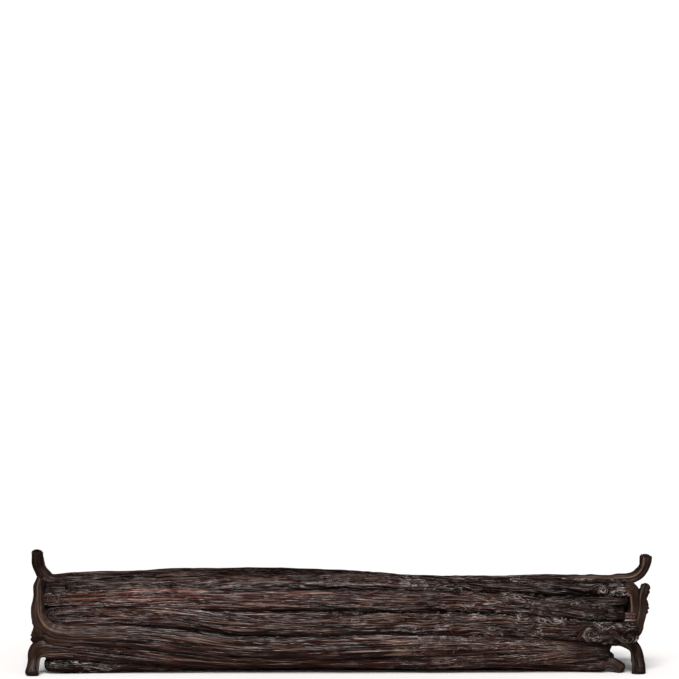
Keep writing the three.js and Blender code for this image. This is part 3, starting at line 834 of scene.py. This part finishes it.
# Pods just inside the front ones. They show where their ends come out between the others.
tuckedPods = {
    "underShoulder": {
        "seed": 4, "angles": [59, 52, 50, 46, 41], "out": [-0.3, -5, -5, -4, -0.8],
        "left": stem(-82.9, 0, [], (0.5, 4), 5.2, 7), "right": tip(80.9, 1.4),
        "tone": [-0.7, 0, -0.6, -0.8], "neckTone": 0,
    },
    "behindCurled": {
        "seed": 7, "angles": [30, 5, 5, 8, 11], "out": [-5, -5, -5, -5, -2.2], "width": 4.4,
        "left": tip(-84.2, 2), "right": tip(83.4, 3.5), "tone": [-0.5, 0, 0.3, 1.6], "red": [0, 0, 0.5, 1],
    },
    "rightHook": {
        "seed": 9, "angles": [-38, -38, -38, -38, -36], "out": [-5, -5, -5, -5, -4.8],
        "left": tip(-72), "right": stem(78.2, -68, [[5.4, 86, 4.4]], (-2, 12), 3.5),
        "tone": [-0.4, 0, -0.2, -0.3],
    },
}
for pod in tuckedPods.values():  # a coarser mesh, as little of them shows
    pod.update(sides=56, step=1.1)
rightEnds = {
    "thinCrook": {
        "seed": 31, "angles": [-13] * 5, "out": [-1.3] * 5, "width": 3.2, "thickness": 3, "left": tip(66),
        "right": stem(81.1, 97, [[3, 84, 7.9], [8, -8, 2.4]], (0.5, 1), 2.4), "tone": [-0.3] * 4,
        "keelAt": 145,
        "heels": [
            {"at": (86.0, 23.1), "towards": (0.95, 0, 0.3), "radius": 1.6, "height": 0.8},
            {"at": (84.0, 24.4), "towards": (-0.9, 0, 0.44), "radius": 1.3, "height": 0.6},
            {"at": (85.6, 18.4), "towards": (1, 0, 0), "radius": 2.0, "height": 1.0},
        ],
    },
    "squareEnd": {
        "seed": 32, "angles": [16] * 5, "out": [-0.9] * 5, "width": 4.8, "thickness": 4, "left": tip(60),
        "right": stem(77.6, -80, [[30, 2, 0.3]], (0.3, 0.8), 4.6), "tone": [-0.9] * 4, "neckTone": 0,
    },
}
tuckedPods.update(rightEnds)
buildPiece("tucked_pods", [finishedPod(pod) for pod in tuckedPods.values()])

# The pods round the back and underneath: evenly spread, heads and tails in turn, with stems
# that curl back or under. Pairs are limits.
backPods = {
    "count": 6, "width": 5.6, "leftX": -79, "rightX": 76.4, "spread": 3, "bendLength": 5,
    "towards": (175, 205), "radius": (4.4, 5.6), "turn": (60, 90), "run": (1.5, 3.5),
    "curl": ((0, 0.5), (0.1, 0.1), (0, 0.9), (0, 0.9)), "tone": (-0.3, 0.3), "red": (-0.3, 0.7),
    "sides": 76, "step": 0.95,
}


def evenAngles(low, high, count, x):  # ring angles between two others, evenly apart round the oval
    degrees = np.arange(low, high + 1e-9, 1.0)
    spots = ovalPoint(degrees, np.full(len(degrees), float(x)), 1, 0.0)
    lengths = np.concatenate([[0], np.cumsum(np.linalg.norm(np.diff(spots, axis=0), axis=1))])
    gap = lengths[-1] / (count + 1)
    return [degrees[np.argmax(lengths >= gap * (i + 1))] for i in range(count)]


def backRow():
    first, last = topPods["crown"]["angles"], lowPods["onTable"]["angles"]
    rows = [
        evenAngles(first[k], last[k] + 360, backPods["count"], x) for k, x in enumerate(layout["stations"])
    ]
    pods = []
    for i in range(backPods["count"]):
        draws = (("radius", 17), ("turn", 11), ("run", 19), ("towards", 23), ("tone", 41), ("red", 43))
        pick = {key: between(backPods[key], i + n) for key, n in draws}  # each n is a draw of its own
        curl = [between(limits, i + n) for limits, n in zip(backPods["curl"], (31, 32, 33, 35))]
        bends = [[pick["radius"], pick["turn"], pick["run"]]]
        leftX = backPods["leftX"] + backPods["spread"] * scatter(i + 3)
        rightX = backPods["rightX"] - backPods["spread"] * scatter(i + 7)
        if i % 2 == 0:
            left, right = stem(leftX + backPods["bendLength"], pick["towards"], bends), tip(rightX)
        else:
            left, right = tip(leftX), stem(rightX - backPods["bendLength"], pick["towards"], bends)
        pods.append({
            "seed": 12 + i, "angles": [row[i] for row in rows], "left": left, "right": right,
            "curl": curl, "tone": [pick["tone"]] * 4, "red": [pick["red"]] * 4,
            **{key: backPods[key] for key in ("width", "sides", "step")},
        })
    return [finishedPod(pod) for pod in pods]


backRowPods = backRow()
buildPiece("back_pods_upper", backRowPods[:3])
buildPiece("back_pods_lower", backRowPods[3:])

# The ends of the pods in the middle of the bundle, on the core that fills it. A ring angle past
# "lowest" is one of the lowest.
innerRows = [
    {"layer": "inner", "first": 95, "step": 45, "count": 5, "lowest": 240},
    {"layer": "centre", "first": 60, "step": 120, "count": 3, "lowest": 360},
]
innerEnds = {
    "leftX": -82.0, "rightX": 81.5, "from": 60, "spread": 3, "neckLength": 4, "bends": [[60, 4, 1.5]],
    "lowRightX": 74.0,  # where the lowest ones stop, behind the short pods at the bottom right
    "curl": 0.3, "tone": (-0.4, 0.1), "red": (-0.3, 0.5), "sides": 48, "step": 0.9,
}
core = {
    "layer": "core", "seed": 90, "angles": [90] * 5, "out": [0, 0, 0, 0, 1.6], "left": tip(-82.8, 2),
    "right": tip(82.0, 2), "width": 17, "thickness": 16.5, "sides": 60, "step": 2.4, "tone": [-1] * 4,
}


def innerPods():
    pods = []
    for spec in innerRows:
        for i in range(spec["count"]):
            angle, seed = spec["first"] + spec["step"] * i, 60 + len(pods)
            shift = innerEnds["spread"] * (scatter(seed) - 0.5)
            rightX = innerEnds["lowRightX" if angle > spec["lowest"] else "rightX"]
            leftX, rightX = innerEnds["leftX"] + shift, rightX - shift
            bends, neck = innerEnds["bends"], innerEnds["neckLength"]
            if scatter(seed + 5) > 0.5:
                left, right = stem(leftX + neck, angle + 180, bends), tip(rightX)
            else:
                left, right = tip(leftX), stem(rightX - neck, angle + 180, bends)
            tone, red = between(innerEnds["tone"], seed + 9), between(innerEnds["red"], seed + 15)
            shared = {
                "layer": spec["layer"], "angles": [angle] * 5, "seed": seed,
                "curl": [innerEnds["curl"]] * 4, "tone": [tone] * 4, "red": [red] * 4,
                **{key: innerEnds[key] for key in ("sides", "step")},
            }
            pods.append({**shared, "left": left, "right": tip(-innerEnds["from"])})
            pods.append({**shared, "left": tip(innerEnds["from"]), "right": right})
    return [finishedPod(pod) for pod in pods]


buildPiece("inner_pod_ends", [finishedPod(core)] + innerPods())


# Camera: a long lens, a little above the table, aimed over the bundle so that it is low in the view
camera = {
    "lens": 200.0, "sensor": 36.0, "distance": 1.070, "elevation": 8.0, "aimUp": 4.08,
    "aimAt": (0.0, 0.0, 0.0167), "clip": (0.01, 100.0),
}


def placeCamera():
    data = bpy.data.cameras.new("camera")
    data.lens, data.sensor_width = camera["lens"], camera["sensor"]
    data.clip_start, data.clip_end = camera["clip"]
    item = bpy.data.objects.new("camera", data)
    bpy.context.scene.collection.objects.link(item)
    height = math.radians(camera["elevation"])
    away = Vector((0, -math.cos(height), math.sin(height)))
    item.location = Vector(camera["aimAt"]) + camera["distance"] * away
    item.rotation_euler = (math.radians(90 - camera["elevation"] + camera["aimUp"]), 0, 0)
    bpy.context.scene.camera = item


placeCamera()
print("camera placed")

# Soft studio: a broad key light from high at the front left, a weak fill, white paper underneath
studio = {
    "floor": "#f4f5f6",
    "floorSize": 60.0,
    "floorHeight": -0.00005,
    "backdrop": "#ffffff",
    "skyLight": 0.24,
    "skyShine": 0.03,  # how bright the sky is in the skin's reflections only: a dimmed reflection
    # the floor's colour in the skin's reflections only: a darker floor painted for reflections
    "floorInReflections": "#606060",
    "lights": [
        {"name": "key", "from": (-0.08, -0.88, 1.05), "spread": 28.0, "strength": 3.6, "colour": "#fffaf7"},
        {"name": "fill", "from": (0.5, -1.0, 0.3), "spread": 50.0, "strength": 0.6, "colour": "#fff9f5"},
    ],
}


def makeFloor():
    half, z = studio["floorSize"] / 2, studio["floorHeight"]
    mesh = bpy.data.meshes.new("floor")
    corners = [(-half, -half), (half, -half), (half, half), (-half, half)]
    mesh.from_pydata([(x, y, z) for x, y in corners], [], [(0, 1, 2, 3)])
    floor = bpy.data.objects.new("floor", mesh)
    bpy.context.scene.collection.objects.link(floor)
    material = bpy.data.materials.new("matt white paper")
    material.use_nodes = True
    tree = material.node_tree
    tree.nodes.clear()
    paper = addNode(tree, "BsdfDiffuse", {"Color": linearColour(studio["floor"])})
    # in reflections the floor shows this darker grey instead of white: a dimmed reflection painted on the
    # floor
    floorReflected = addNode(tree, "BsdfDiffuse", {"Color": linearColour(studio["floorInReflections"])})
    path = addNode(tree, "LightPath")
    both = addNode(tree, "MixShader", {}, {0: path.outputs["Is Glossy Ray"], 1: paper, 2: floorReflected})
    addNode(tree, "OutputMaterial", {}, {"Surface": both})
    mesh.materials.append(material)


def makeLights():
    for lamp in studio["lights"]:
        data = bpy.data.lights.new(lamp["name"], "SUN")
        data.angle, data.energy = math.radians(lamp["spread"]), lamp["strength"]
        data.color = linearColour(lamp["colour"])[:3]
        item = bpy.data.objects.new(lamp["name"], data)
        bpy.context.scene.collection.objects.link(item)
        item.location = lamp["from"]
        item.rotation_euler = (-Vector(lamp["from"])).to_track_quat("-Z", "Y").to_euler()


def makeWorld():
    world = bpy.data.worlds.new("studio")
    world.use_nodes = True
    tree = world.node_tree
    tree.nodes.clear()
    backdrop = {"Color": linearColour(studio["backdrop"])}
    soft = addNode(tree, "Background", {**backdrop, "Strength": studio["skyLight"]})
    dim = addNode(tree, "Background", {**backdrop, "Strength": studio["skyShine"]})
    plain = addNode(tree, "Background", {**backdrop, "Strength": 1.0})
    path = addNode(tree, "LightPath")  # the camera sees plain white paper
    room = addNode(tree, "MixShader", {}, {0: path.outputs["Is Glossy Ray"], 1: soft, 2: dim})
    both = addNode(tree, "MixShader", {}, {0: path.outputs["Is Camera Ray"], 1: room, 2: plain})
    addNode(tree, "OutputWorld", {}, {"Surface": both})
    bpy.context.scene.world = world
    bpy.context.scene.view_settings.view_transform = "Standard"


makeFloor()
makeLights()
makeWorld()
print("studio made")
